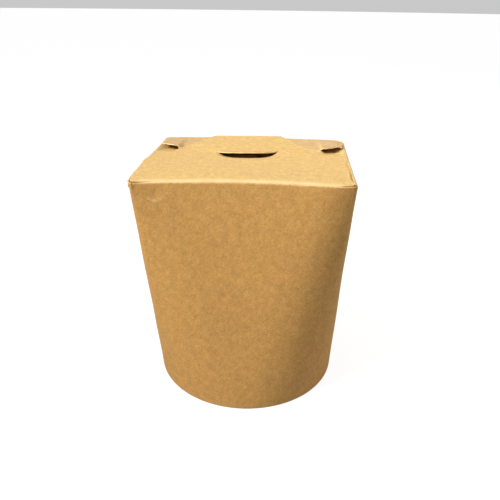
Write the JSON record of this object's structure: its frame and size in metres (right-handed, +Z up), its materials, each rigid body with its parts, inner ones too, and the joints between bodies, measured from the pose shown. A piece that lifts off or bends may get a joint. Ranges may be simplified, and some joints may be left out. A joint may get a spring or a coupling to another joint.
{
  "type": "noodle takeaway box",
  "caption": "Shut kraft-board noodle takeaway box with a rectangular folded top, interlocked flaps and a round foot.",
  "frame": {"origin": "on the surface the box stands on, under the middle of the box", "axes": "+Z up, +X from the box's left to its right along the front fold, +Y from the front fold to the rear fold; the front flap hinges at the -Y side"},
  "size_m": [0.0981, 0.092, 0.1129],
  "materials": {
    "kraft_board": null,
    "kraft_panel": "matt kraft paperboard panel, slightly paler"
  },
  "bodies": {
    "root": {"carton": "kraft_board", "base_panel": "kraft_panel"}
  },
  "joints": []
}
